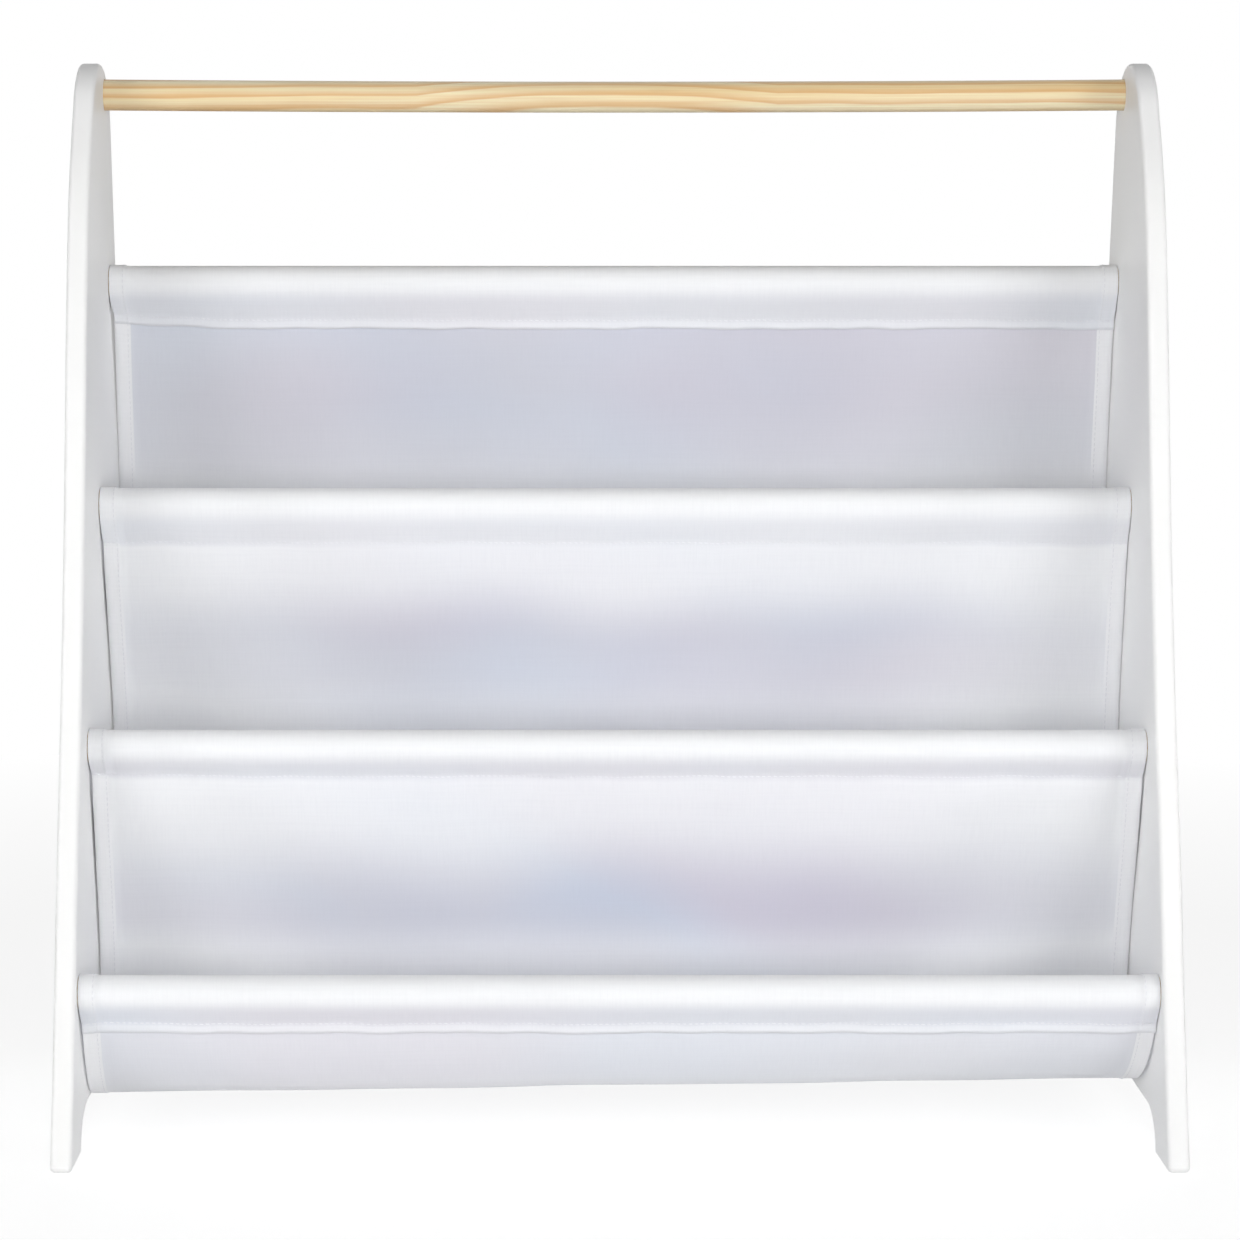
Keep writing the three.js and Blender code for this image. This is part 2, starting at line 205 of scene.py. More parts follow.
def pine(name, centre, lacquered):
    r = Recipe(name)
    place = r.moved(r.place(), 0.0, -centre[0], -centre[1])
    along, deep, up = r.parts(place)
    drift = r.streaks(place, scales=(4.5, 12.0, 12.0))
    from_flame = r.math("SUBTRACT", along, FLAME_PLACE)
    arch = r.math("MULTIPLY", r.math("MULTIPLY", from_flame, from_flame), FLAME_CURVE)
    arch = r.math("MINIMUM", arch, FLAME_LIMIT)
    bend = r.math("ADD", r.math("MULTIPLY", r.math("SUBTRACT", drift, 0.5), RING_DRIFT), arch)

    def from_axis(position, tilt, offset):
        axis = r.math("ADD", r.math("MULTIPLY", along, tilt), offset)
        return r.math("SUBTRACT", r.math("ADD", position, bend), axis)

    away = {1: from_axis(deep, TREE_TILT[0], TREE_OFFSET[0]), 2: from_axis(up, TREE_TILT[1], TREE_OFFSET[1])}
    away = r.node("ShaderNodeCombineXYZ", away)
    distance = r.node("ShaderNodeVectorMath", {0: away}, "Value", operation="LENGTH")
    ripple = r.streaks(place, scales=(25.0, 260.0, 260.0), detail=3.0)
    wavy = r.math("ADD", distance, r.math("MULTIPLY", ripple, RING_RIPPLE))
    ring = r.math("FRACT", r.math("DIVIDE", wavy, RING_PITCH))
    late = r.math("MULTIPLY", r.spread(ring, 0.3, 0.85), r.spread(ring, 1.0, 0.88))
    streaks = r.streaks(place, scales=(7.0, 900.0, 900.0), detail=4.0, roughness=0.62)
    fibres = r.streaks(place, scales=(40.0, 3500.0, 3500.0), roughness=0.6)
    broad = r.streaks(place, scales=(2.4, 90.0, 90.0))
    ground = r.mixed(r.spread(broad, 0.38, 0.62), PALE_WOOD, WARM_WOOD)
    ringed = r.mixed(r.math("MULTIPLY", late, RING_STRENGTH), ground, LATE_WOOD)
    streaked = r.mixed(r.spread(streaks, 0.45, 0.75, 0.0, STREAK_STRENGTH), ringed, LATE_WOOD)
    grain = r.mixed(r.spread(fibres, 0.5, 0.85, 0.0, FIBRE_STRENGTH), streaked, DARK_FIBRE)
    normal = r.bump(r.math("ADD", fibres, late), WOOD_DEPTH, 0.3)
    r.surface(Base_Color=grain, Roughness=r.spread(streaks, *NOISE_RANGE, *WOOD_ROUGHNESS), Normal=normal)
    if lacquered:
        r.surface(Coat_Weight=0.2, Coat_Roughness=0.3)
    return r.material


# Zinc-plated steel and cast zinc: turned marks round the axis, and blotches in the plating
BLOTCH_SHADE = 0.72
TURNED_DEPTH = 0.02 * MM


def metal(name, colour, roughness, mottle):
    r = Recipe(name)
    place = r.place()
    turned_marks = r.streaks(place, scales=(9000.0, 300.0, 300.0))
    blotches = r.noise(place, scale=700.0, detail=3.0)
    darker = (*[BLOTCH_SHADE * value for value in colour[:3]], 1)
    tone = r.mixed(r.spread(blotches, 0.35, 0.7, 0.0, mottle), colour, darker)
    gloss = r.spread(r.math("ADD", turned_marks, blotches), 0.6, 1.4, roughness - 0.08, roughness + 0.1)
    normal = r.bump(turned_marks, TURNED_DEPTH, 0.4)
    r.surface(Base_Color=tone, Metallic=1.0, Roughness=gloss, Normal=normal)
    return r.material


# Moulded white plastic: fine spark texture
PLASTIC_TONES = (linear(244, 244, 242), linear(240, 240, 239))
PLASTIC_ROUGHNESS = (0.34, 0.46)
SPARK_DEPTH = 0.02 * MM


def cap_plastic():
    r = Recipe("cap_plastic")
    place = r.place()
    spark = r.noise(place, scale=2600.0, roughness=0.6)
    cloud = r.noise(place, scale=160.0)
    tone = r.mixed(r.spread(cloud, *NOISE_RANGE), *PLASTIC_TONES)
    gloss = r.spread(spark, *NOISE_RANGE, *PLASTIC_ROUGHNESS)
    r.surface(Base_Color=tone, Roughness=gloss, Normal=r.bump(spark, SPARK_DEPTH, 0.5))
    return r.material


# Sling fabric: a sheer plain weave. It looks grey-blue where one layer hangs alone and white where layers lie
# on each other, so the mesh carries a value for the layers, and a map called weave that is in metres of cloth.
# The
# value also holds painted light and shade: walls painted paler low down, at their sides and where a pocket hangs
# behind them, and sleeves painted darker below their rods.
THREAD_PITCH = 0.5 * MM
WEAVE_DEPTH = 0.04 * MM
SLUB_DEPTH = 0.06 * MM
ONE_LAYER = linear(206, 208, 219)
BLUE_PATCH = linear(203, 210, 225)
LILAC_PATCH = linear(208, 203, 216)
TWO_LAYERS = linear(247, 248, 250)
FOLDED_HEM = linear(250, 250, 252)
# Painted shade: the cloth is a little darker between the threads of the weave
PAINTED_SHADE_BETWEEN_THREADS = linear(160, 162, 175)
DARK_SLUB = linear(176, 178, 190)
CLOTH_ROUGHNESS = (0.95, 0.82)


def rounded_threads(r, position):
    """The height of threads that lie side by side, from 0 between them to 1 on top."""
    inside = r.math("SUBTRACT", r.math("FRACT", r.math("DIVIDE", position, THREAD_PITCH)), 0.5)
    return r.math("SUBTRACT", 1.0, r.math("MULTIPLY", r.math("MULTIPLY", inside, inside), 4.0))


def thread_wave(r, position):
    """A wave with one half turn for each thread, which says whether that thread lies on top."""
    return r.math("SINE", r.math("MULTIPLY", position, math.pi / THREAD_PITCH))


def sling_fabric():
    r = Recipe("sling_fabric")
    cloth = r.node("ShaderNodeUVMap", {}, uv_map="weave")
    across, along, _ = r.parts(cloth)
    layers = r.node("ShaderNodeAttribute", {}, "Fac", attribute_name="layers")
    over = r.spread(r.math("MULTIPLY", thread_wave(r, across), thread_wave(r, along)), -0.5, 0.5)
    warp = r.math("MULTIPLY", rounded_threads(r, across), over)
    weft = r.math("MULTIPLY", rounded_threads(r, along), r.math("SUBTRACT", 1.0, over))
    weave = r.math("ADD", warp, weft)
    weft_slubs = r.streaks(cloth, scales=(14.0, 700.0, 1.0), detail=3.0, roughness=0.6)
    warp_slubs = r.streaks(cloth, scales=(1100.0, 60.0, 1.0))
    linen = r.math("ADD", weft_slubs, warp_slubs)
    haze = r.streaks(cloth, scales=(5.0, 9.0, 1.0), detail=1.5)
    lilac = r.noise(r.moved(r.scaled(cloth, 4.0, 7.0, 1.0), 3.0, 7.0, 0.0), scale=1.0, detail=1.0)
    one = r.mixed(r.spread(haze, 0.4, 0.62, 0.0, 0.9), ONE_LAYER, BLUE_PATCH)
    one = r.mixed(r.spread(lilac, 0.45, 0.65, 0.0, 0.85), one, LILAC_PATCH)
    # Mixed by the layers value, with the painted light and shade that it also holds
    tone = r.mixed(layers, one, TWO_LAYERS)
    tone = r.mixed(r.math("SUBTRACT", layers, 1.0), tone, FOLDED_HEM)
    # Painted shade between the threads
    threads = r.mixed(r.spread(weave, 0.0, 0.6, 0.06, 0.0), tone, PAINTED_SHADE_BETWEEN_THREADS)
    streaked = r.mixed(r.spread(linen, 0.85, 1.25, 0.0, 0.05), threads, DARK_SLUB)
    normal = r.bump(weave, WEAVE_DEPTH, 0.2, r.bump(linen, SLUB_DEPTH, 0.2))
    r.surface(Base_Color=streaked, Roughness=r.spread(linen, 0.7, 1.3, *CLOTH_ROUGHNESS), Normal=normal)
    r.surface(Specular_IOR_Level=0.25, Sheen_Weight=0.35, Sheen_Roughness=0.5)
    return r.material


# Sewing thread: two plies twisted together
THREAD_TONES = (linear(242, 242, 245), linear(226, 227, 233))
PLY_DEPTH = 0.05 * MM


def thread():
    r = Recipe("sewing_thread")
    plies = r.streaks(r.place(), scales=(4000.0, 4000.0, 4000.0), detail=1.0)
    tone = r.mixed(r.spread(plies, 0.35, 0.65), *THREAD_TONES)
    r.surface(Base_Color=tone, Roughness=0.7, Normal=r.bump(plies, PLY_DEPTH, 0.6))
    r.surface(Sheen_Weight=0.2, Sheen_Roughness=0.35)
    return r.material


def new_piece(name, vertices, faces, material):
    mesh = bpy.data.meshes.new(name)
    mesh.from_pydata([tuple(v) for v in vertices], [], [tuple(int(i) for i in f) for f in faces])
    mesh.materials.append(material)
    mesh.shade_smooth()
    return new_object(name, mesh)


SHARP_ANGLE = math.radians(40)


def keep_flat_faces_flat(piece):
    """Sharp edges stay sharp, and large faces rule the shading next to rounded edges."""
    piece.data.set_sharp_from_angle(angle=SHARP_ANGLE)
    modifier = piece.modifiers.new("weighted_normals", "WEIGHTED_NORMAL")
    modifier.keep_sharp = True


# Sizes that the frame gives
PANEL_LOW, PANEL_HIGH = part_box("right_side_panel")
INNER_FACE = PANEL_LOW.x
THICKNESS = PANEL_HIGH.x - PANEL_LOW.x
DEPTH = PANEL_HIGH.y - PANEL_LOW.y
HEIGHT = PANEL_HIGH.z
ROD_NAMES = ["sling_rod_1", "sling_rod_2", "sling_rod_3", "sling_rod_4"]


def centre_of(node):
    """The middle of a node in y and z."""
    low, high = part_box(node)
    return np.array([(low.y + high.y) / 2, (low.z + high.z) / 2])


HANDLE_LOW, HANDLE_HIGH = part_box("handle_rod")
HANDLE_CENTRE = centre_of("handle_rod")
ROD_CENTRES = [centre_of(name) for name in ROD_NAMES]
ROD_RADIUS = (HANDLE_HIGH.z - HANDLE_LOW.z) / 2
ROD_END = HANDLE_HIGH.x
CLEARANCE = 0.3 * MM

# Side panels, in the frame's sizes with finer curves. Places on their edges are shares of the depth and height.
PANEL_EDGE_ROUND = 2.5 * MM
FOOT_LENGTH = 45 * MM
FOOT_CORNER_RADIUS = 4 * MM
ARCH_HEIGHT = 21 * MM
ARCH_SHOULDER = 30 * MM
CROWN_RADIUS = 46 * MM
CROWN_DEPTH_SHARE = 0.739
FRONT_EDGE_SHARES = [(0.495, 0.872), (0.425, 0.75), (0.35, 0.575), (0.26, 0.41), (0.165, 0.27), (0.07, 0.11)]
REAR_EDGE_SHARES = [(1, 0.6), (0.985, 0.715), (0.955, 0.812)]
CROWN_REAR_ANGLE = math.radians(10)
CROWN_FRONT_ANGLE = math.radians(150)
SOCKET_DEPTH = 3 * MM
BOLT_HOLE_RADIUS = 3.3 * MM
COUNTERBORE_RADIUS = 6.8 * MM
COUNTERBORE_DEPTH = 3.6 * MM
EDGE_STEPS = 14
ROUND_STEPS = 6
HOLE_SIDES = 48


def arc(centre, radii, start, end, steps):
    """Points on an ellipse from the start angle to the end angle."""
    angles = np.linspace(start, end, steps + 1)
    return np.column_stack([centre[0] + radii[0] * np.cos(angles), centre[1] + radii[1] * np.sin(angles)])


def spline(points, steps):
    """A smooth curve through the points, with its ends held, as a row of points."""
    points = np.asarray(points, float)
    padded = np.vstack([points[:1], points, points[-1:]])
    t = np.linspace(0, 1, steps, endpoint=False)[:, None]
    curve = []
    for before, start, end, after in zip(padded, padded[1:], padded[2:], padded[3:]):
        leave, arrive = (end - before) / 2, (after - start) / 2
        bend = (2 * start - 2 * end + leave + arrive) * t**3
        curve.append(bend + (3 * end - 3 * start - 2 * leave - arrive) * t**2 + leave * t + start)
    return np.vstack([*curve, points[-1:]])


def panel_place(shares):
    """A place in y and z from its shares of the panel's depth and height."""
    return np.array([shares[0] * DEPTH - DEPTH / 2, shares[1] * HEIGHT])


def panel_outline():
    """The board's outline in y and z, counter-clockwise from the front foot's toe."""
    front, rear, corner = -DEPTH / 2, DEPTH / 2, FOOT_CORNER_RADIUS
    right, half, three = math.pi / 2, math.pi, 1.5 * math.pi
    shoulder = (ARCH_SHOULDER, ARCH_HEIGHT)
    front_shoulder = front + FOOT_LENGTH + ARCH_SHOULDER
    rear_shoulder = rear - FOOT_LENGTH - ARCH_SHOULDER
    crown = (CROWN_DEPTH_SHARE * DEPTH - DEPTH / 2, HEIGHT - CROWN_RADIUS)
    toe = arc((front + corner, corner), (corner, corner), half, three, ROUND_STEPS)
    arch_front = arc((front_shoulder, 0), shoulder, half, right, EDGE_STEPS)
    arch_rear = arc((rear_shoulder, 0), shoulder, right, 0, EDGE_STEPS)
    heel = arc((rear - corner, corner), (corner, corner), three, 2 * half, ROUND_STEPS)
    top = arc(crown, (CROWN_RADIUS, CROWN_RADIUS), CROWN_REAR_ANGLE, CROWN_FRONT_ANGLE, 4 * EDGE_STEPS)
    rear_edge = spline([*map(panel_place, REAR_EDGE_SHARES), top[0]], EDGE_STEPS)
    front_edge = spline([top[-1], *map(panel_place, FRONT_EDGE_SHARES), toe[0]], EDGE_STEPS)
    return np.vstack([toe, arch_front, arch_rear, heel, rear_edge, top[1:], front_edge[1:-1]])


def drawn_in(outline, distance):
    """The closed outline moved inwards by distance, with its corners mitred."""
    ahead = np.roll(outline, -1, axis=0) - outline
    ahead /= np.linalg.norm(ahead, axis=1)[:, None]
    inward = np.column_stack([-ahead[:, 1], ahead[:, 0]])
    before = np.roll(inward, 1, axis=0)
    shared = 1 + (inward * before).sum(axis=1)[:, None]
    return outline + distance * (inward + before) / shared


def make_panel(name, node, side, material):
    """side is 1 for the right panel and -1 for the left one, which mirrors it."""
    mesh = bmesh.new()

    def ring(points, depth):
        x = side * (INNER_FACE + depth)
        return [mesh.verts.new((x, y, z)) for y, z in points]

    def wall(first, second):
        for i in range(len(first)):
            j = (i + 1) % len(first)
            mesh.faces.new([first[i], first[j], second[j], second[i]])

    def border(loop):
        return [mesh.edges.get((a, b)) or mesh.edges.new((a, b)) for a, b in zip(loop, loop[1:] + loop[:1])]

    outline = panel_outline()
    angles = np.linspace(0, math.pi / 2, ROUND_STEPS + 1)
    insets, depths = PANEL_EDGE_ROUND * (1 - np.sin(angles)), PANEL_EDGE_ROUND * (1 - np.cos(angles))
    steps = [*zip(insets, depths), *zip(insets[::-1], THICKNESS - depths[::-1])]
    rings = [ring(drawn_in(outline, inset), depth) for inset, depth in steps]
    for first, second in zip(rings, rings[1:]):
        wall(first, second)

    socket = ROD_RADIUS + CLEARANCE
    head_seat = THICKNESS - COUNTERBORE_DEPTH
    bore_steps = [
        (socket, 0),
        (socket, SOCKET_DEPTH),
        (BOLT_HOLE_RADIUS, SOCKET_DEPTH),
        (BOLT_HOLE_RADIUS, head_seat),
        (COUNTERBORE_RADIUS, head_seat),
        (COUNTERBORE_RADIUS, THICKNESS),
    ]
    inner_edges, outer_edges = border(rings[0]), border(rings[-1])
    for centre in [HANDLE_CENTRE, *ROD_CENTRES]:
        loops = [
            ring(arc(centre, (radius, radius), 0, 2 * math.pi, HOLE_SIDES)[:-1], depth)
            for radius, depth in bore_steps
        ]
        for first, second in zip(loops, loops[1:]):
            wall(first, second)
        inner_edges += border(loops[0])
        outer_edges += border(loops[-1])
    for edges in (inner_edges, outer_edges):
        bmesh.ops.triangle_fill(mesh, edges=edges, use_beauty=True)
    bmesh.ops.recalc_face_normals(mesh, faces=mesh.faces)
    data = bpy.data.meshes.new(name)
    mesh.to_mesh(data)
    mesh.free()
    data.materials.append(material)
    data.shade_smooth()
    piece = new_object(name, data)
    keep_flat_faces_flat(piece)
    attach(piece, "root")
    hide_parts(node)


def tube_faces(start, rings, sides):
    """The faces of a closed tube whose rings of vertices are numbered from start."""
    faces = []
    for a in range(start, start + (rings - 1) * sides, sides):
        b = a + sides
        faces += [(a + j, a + (j + 1) % sides, b + (j + 1) % sides, b + j) for j in range(sides)]
    last = start + (rings - 1) * sides
    return [*faces, tuple(range(start, start + sides))[::-1], tuple(range(last, last + sides))]


def turned(name, profile, centre, material, sides, sag=0.0):
    """A solid from a profile of (radius, x) points, turned about an axis along x that may sag in its middle."""
    profile = np.asarray(profile, float)
    angles = np.linspace(0, 2 * math.pi, sides, endpoint=False)
    reach = np.abs(profile[:, 1]).max()
    vertices = []
    for radius, x in profile:
        y, z = centre[0], centre[1] - sag * (1 - (x / reach) ** 2)
        vertices += [(x, y + radius * math.cos(angle), z + radius * math.sin(angle)) for angle in angles]
    piece = new_piece(name, vertices, tube_faces(0, len(profile), sides), material)
    mesh = bmesh.new()
    mesh.from_mesh(piece.data)
    bmesh.ops.recalc_face_normals(mesh, faces=mesh.faces)
    mesh.to_mesh(piece.data)
    mesh.free()
    keep_flat_faces_flat(piece)
    return piece


# Handle: a dowel with broken edges, a bore for the insert at each end and a slight natural sag
HANDLE_SAG = 1.3 * MM
ROD_EDGE_BREAK = 0.8 * MM
ROD_BORE_RADIUS = 5 * MM
ROD_BORE_DEPTH = 22.6 * MM
HANDLE_STEPS = 24
HANDLE_SIDES = 72


def handle_profile():
    """One end's bore, the long side and the other end's bore, as a closed solid's (radius, x) points."""
    soften = ROD_EDGE_BREAK * (1 - math.cos(math.pi / 4))
    straight_end = ROD_END - ROD_EDGE_BREAK
    side = [(ROD_RADIUS, x) for x in np.linspace(-straight_end, straight_end, HANDLE_STEPS)]
    left = [
        (ROD_BORE_RADIUS, ROD_BORE_DEPTH - ROD_END),
        (ROD_BORE_RADIUS, -ROD_END),
        (ROD_RADIUS - ROD_EDGE_BREAK, -ROD_END),
        (ROD_RADIUS - soften, soften - ROD_END),
    ]
    right = [(radius, -x) for radius, x in reversed(left)]
    return left + side + right


def make_handle(material):
    piece = turned("pine_handle", handle_profile(), HANDLE_CENTRE, material, HANDLE_SIDES, HANDLE_SAG)
    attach(piece, "root")
    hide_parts("handle_rod")


# Cover caps: a thin disc with a rounded rim and a slight dome
CAP_SIDES = 48
CAP_DOME = 0.25 * MM
CAP_ROUND = 0.4 * MM
CAP_ROUND_STEPS = 4
CAP_BACK_SHARE = 0.6
CAP_DOME_SHARES = (0.85, 0.6, 0.3, 0.05)


def make_cap(node, material):
    low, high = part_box(node)
    side = 1 if low.x > 0 else -1
    radius = COUNTERBORE_RADIUS - CLEARANCE
    inner, outer = (low.x, high.x) if side > 0 else (high.x, low.x)
    profile = [(CAP_BACK_SHARE * radius, inner), (radius, inner)]
    for angle in np.linspace(0, math.pi / 2, CAP_ROUND_STEPS + 1):
        rim = radius - CAP_ROUND * (1 - math.cos(angle))
        profile.append((rim, outer - side * (CAP_DOME + CAP_ROUND * (1 - math.sin(angle)))))
    for share in CAP_DOME_SHARES:
        profile.append((share * radius, outer - side * CAP_DOME * share**2))
    piece = turned(f"cover_{node}", profile, centre_of(node), material, CAP_SIDES)
    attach(piece, "root")
    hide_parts(node)


# Sling: one strip of cloth, folded double along its sides, from the flap on rod 1 to the flap on rod 4
CLOTH_THICKNESS = 0.5 * MM
HEM_THICKNESS = 1.1 * MM
HEM_FOLD_SHARE = 0.55
HEM_WIDTH = 9.5 * MM
LAYER_GAP = 0.15 * MM
ROD_SLACK = 0.2 * MM
SLING_HALF_WIDTH = INNER_FACE - 0.35 * MM
POCKET_COUNT = len(ROD_NAMES) - 1

# Where each sleeve is stitched together, behind and below its rod, with seams that wave and that rise at the left
# end over a share of the half width, and the flaps below the end seams
SEAM_LEANS = [3 * MM, 1.5 * MM, 1 * MM, 1.5 * MM]
SEAM_DROPS = [22.4 * MM, 22.2 * MM, 17 * MM, 17.7 * MM]
SEAM_END_LIFTS = [3.5 * MM, 0, 1.5 * MM, 0]
SEAM_LIFT_REACH = 0.13
SEAM_WAVE = 0.4 * MM
SEAM_WAVE_LENGTHS = [34 * MM, 57 * MM, 98 * MM, 170 * MM]
SEAM_WAVE_SEED = 40
FLAP_LENGTHS = [5.4 * MM, 6 * MM]
FLAP_TAPER = [0.2, 0.8, 0.8, 0.2]
FLAP_DROOP = 0.5
LEAVE_ANGLE = math.radians(8)
SEAM_SLOPE = 0.5
SLEEVE_HANDLE_SHARES = (0.36, 0.26)

# Pockets, nearly as in the frame: how far the belly falls behind its rear rod and below its front rod
BELLY_RUN = 38 * MM
BELLY_DROP = 31 * MM
POCKET_DROP = 65.4 * MM
BOTTOM_PLACE_SHARE = 0.6
WALL_TOP_RUN_SHARE = 0.05
WALL_TOP_FALL_SHARE = 0.26
WALL_FOOT_SHARE = 0.4
BELLY_CURVE_SHARE = 0.55
FRONT_FOOT_SHARE = 0.42
FRONT_TOP_RUN_SHARE = 0.84
FRONT_TOP_RISE_SHARE = 0.5

# Slow folds: the left end hangs lower, each belly is skewed from left to right, and the walls swell in waves
POCKET_SKEW = 4 * MM
BELLY_SHIFTS = [-8.5 * MM, -3 * MM, 0]
BELLY_SKEWS = [-7.5 * MM, -12 * MM, 4 * MM]
WALL_WAVE = 1.6 * MM
WALL_WAVES = 2.5

# How far the left and right edges are drawn in, at the four seams, the walls' feet and the pockets' bottoms
SEAM_PULLS = np.array([[1.7, 0.5], [1.0, 0.1], [1.2, 0.8], [1.0, 0.2]]) * MM
FOOT_PULLS = np.array([[0.05, 0.5], [0.7, 0.2], [0.9, 0.3]]) * MM
BOTTOM_PULLS = np.array([[0.0, 0.5], [0.5, 0.1], [0.1, 3.0]]) * MM
PULL_FOOT_SHARE = 0.7
PULL_REACH = 7 * MM

# How the walls' side edges curl back, free of the seams and of the belly
CURL_DEPTH = 1.7 * MM
CURL_WIDTH = 3.4 * MM
CURL_START = (2 * MM, 20 * MM)
CURL_FADE_ROWS = 12

# Puckers along the seams, and slow swells over the walls
PUCKER_DEPTH = 0.22 * MM
PUCKER_REACH = 9 * MM
PUCKER_LENGTHS = [13 * MM, 17 * MM, 23 * MM, 31 * MM]
PUCKER_LEAN = 0.35
PUCKER_SEED = 3
PUCKER_SLEEVE_SHARE = 0.4
PUCKER_SLEEVE_END = 14 * MM
SWELL_DEPTH = 0.7 * MM
SWELL_LENGTHS = [95 * MM, 140 * MM, 210 * MM]
SWELL_LEAN = 0.8
SWELL_SEED = 11
SWELL_START = (4 * MM, 45 * MM)
SWELL_FRONT_SHARE = 0.3

# Rows of mesh along each stretch of the strip, and columns across it
FLAP_ROWS = 3
STRAIGHT_ROWS = 9
SLEEVE_ROWS = 18
WALL_ROWS = 34
UNDER_ROWS = 16
FRONT_ROWS = 18
MIDDLE_COLUMNS = 132
HEM_COLUMNS_MM = [0, 0.3, 1.2, 2.2, 3.4, 5.5, 8.1, 9.3, 9.9]


def bezier(points, steps):
    """A cubic curve from the first of four points to the last, drawn by the two between them."""
    t = np.linspace(0, 1, steps + 1)[:, None]
    a, b, c, d = (np.asarray(p, float) for p in points)
    return (1 - t) ** 3 * a + 3 * (1 - t) ** 2 * t * b + 3 * (1 - t) * t**2 * c + t**3 * d


def straight(start, end, steps):
    t = np.linspace(0, 1, steps + 1)[:, None]
    return (1 - t) * np.asarray(start, float) + t * np.asarray(end, float)


def seam_place(number, station):
    """The middle of a sleeve's seam at one station, from -1 at the left side to 1 at the right side."""
    lift = SEAM_END_LIFTS[number] * math.exp(-((station + 1) / SEAM_LIFT_REACH))
    lift += SEAM_WAVE * waves(station * SLING_HALF_WIDTH, SEAM_WAVE_LENGTHS, SEAM_WAVE_SEED + number)
    return ROD_CENTRES[number] + np.array([SEAM_LEANS[number], -SEAM_DROPS[number] + lift])


def sleeve_line(number, station, thickness):
    """The cloth's middle line round a rod, from the seam's front layer over the top to its rear layer."""
    centre = ROD_CENTRES[number]
    radius = ROD_RADIUS + ROD_SLACK + thickness / 2
    apart = np.array([(thickness + LAYER_GAP) / 2, 0])
    seam = seam_place(number, station)
    front, rear = seam - apart, seam + apart

    def side_layer(point, sign):
        """Loose cloth on one side of the sleeve, which curves from the seam's point up to the rod."""
        leave = np.array([sign * math.cos(LEAVE_ANGLE), -math.sin(LEAVE_ANGLE)])
        start = centre + radius * leave
        reach = SEAM_DROPS[number]
        downwards = np.array([-sign * math.sin(LEAVE_ANGLE), -math.cos(LEAVE_ANGLE)])
        inwards = np.array([-sign * SEAM_SLOPE, -1]) / math.hypot(SEAM_SLOPE, 1)
        first = start + downwards * reach * SLEEVE_HANDLE_SHARES[0]
        second = point - inwards * reach * SLEEVE_HANDLE_SHARES[1]
        return bezier([point, second, first, start], STRAIGHT_ROWS)

    over = arc(centre, (radius, radius), math.pi + LEAVE_ANGLE, -LEAVE_ANGLE, SLEEVE_ROWS)
    rise = side_layer(front, -1)
    fall = side_layer(rear, 1)[::-1]
    return np.vstack([rise[:-1], over, fall[1:]])


def pocket_line(number, start, end, station):
    """The cloth's middle line down a pocket's wall, under its belly and up its front."""
    rear, front = ROD_CENTRES[number], ROD_CENTRES[number + 1]
    wave = WALL_WAVE * math.cos(WALL_WAVES * math.pi * station)
    run = BELLY_RUN + BELLY_SHIFTS[number] + BELLY_SKEWS[number] * station + wave
    belly = np.array([rear[0] + run, front[1] - BELLY_DROP])
    bottom_y = end[0] + BOTTOM_PLACE_SHARE * (belly[0] - end[0])
    bottom = np.array([bottom_y, front[1] - POCKET_DROP + CLOTH_THICKNESS / 2 + POCKET_SKEW * station])
    fall, drop = start[1] - belly[1], belly[1] - bottom[1]
    behind, ahead = belly[0] - bottom[0], bottom[0] - end[0]
    wall = bezier(
        [
            start,
            start + np.array([fall * WALL_TOP_RUN_SHARE, -fall * WALL_TOP_FALL_SHARE]),
            belly + np.array([0, fall * WALL_FOOT_SHARE]),
            belly,
        ],
        WALL_ROWS,
    )
    under = bezier(
        [
            belly,
            belly - np.array([0, drop * BELLY_CURVE_SHARE]),
            bottom + np.array([behind * BELLY_CURVE_SHARE, 0]),
            bottom,
        ],
        UNDER_ROWS,
    )
    front_wall = bezier(
        [
            bottom,
            bottom - np.array([ahead * FRONT_FOOT_SHARE, 0]),
            bottom + np.array([-ahead * FRONT_TOP_RUN_SHARE, (end[1] - bottom[1]) * FRONT_TOP_RISE_SHARE]),
            end,
        ],
        FRONT_ROWS,
    )
    return np.vstack([wall[1:], under[1:], front_wall[1:-1]])


def strip_line(station, thickness):
    """The strip's middle line in y and z at one station, from the flap on rod 1 to the flap on rod 4."""
    sleeves = [sleeve_line(number, station, thickness) for number in range(len(ROD_NAMES))]
    sleeves[1:] = [line[::-1] for line in sleeves[1:]]
    pockets = [pocket_line(n, sleeves[n][-1], sleeves[n + 1][0], station) for n in range(POCKET_COUNT)]
    shift = np.array([-(thickness + LAYER_GAP), 0])
    first_flap = hanging_flap(sleeves[0][-1], pockets[0], FLAP_LENGTHS[0], shift)
    last_flap = hanging_flap(sleeves[-1][0], pockets[-1][::-1], FLAP_LENGTHS[1], shift)
    lines = [first_flap[:0:-1], sleeves[0]]
    for pocket, sleeve in zip(pockets, sleeves[1:]):
        lines += [pocket, sleeve]
    return np.vstack([*lines, last_flap[1:]])


def hanging_flap(seam, wall, length, shift):
    """A flap in front of the wall that it is sewn to: it hangs between the wall's line and plumb."""
    fall = wall[2] - seam
    fall /= np.linalg.norm(fall)
    fall = fall * (1 - FLAP_DROOP) + np.array([0, -FLAP_DROOP])
    fall /= np.linalg.norm(fall)
    return straight(seam + shift, seam + shift + fall * length, FLAP_ROWS)


SLEEVE_LENGTH = 2 * STRAIGHT_ROWS + SLEEVE_ROWS + 1
POCKET_LENGTH = WALL_ROWS + UNDER_ROWS + FRONT_ROWS - 1


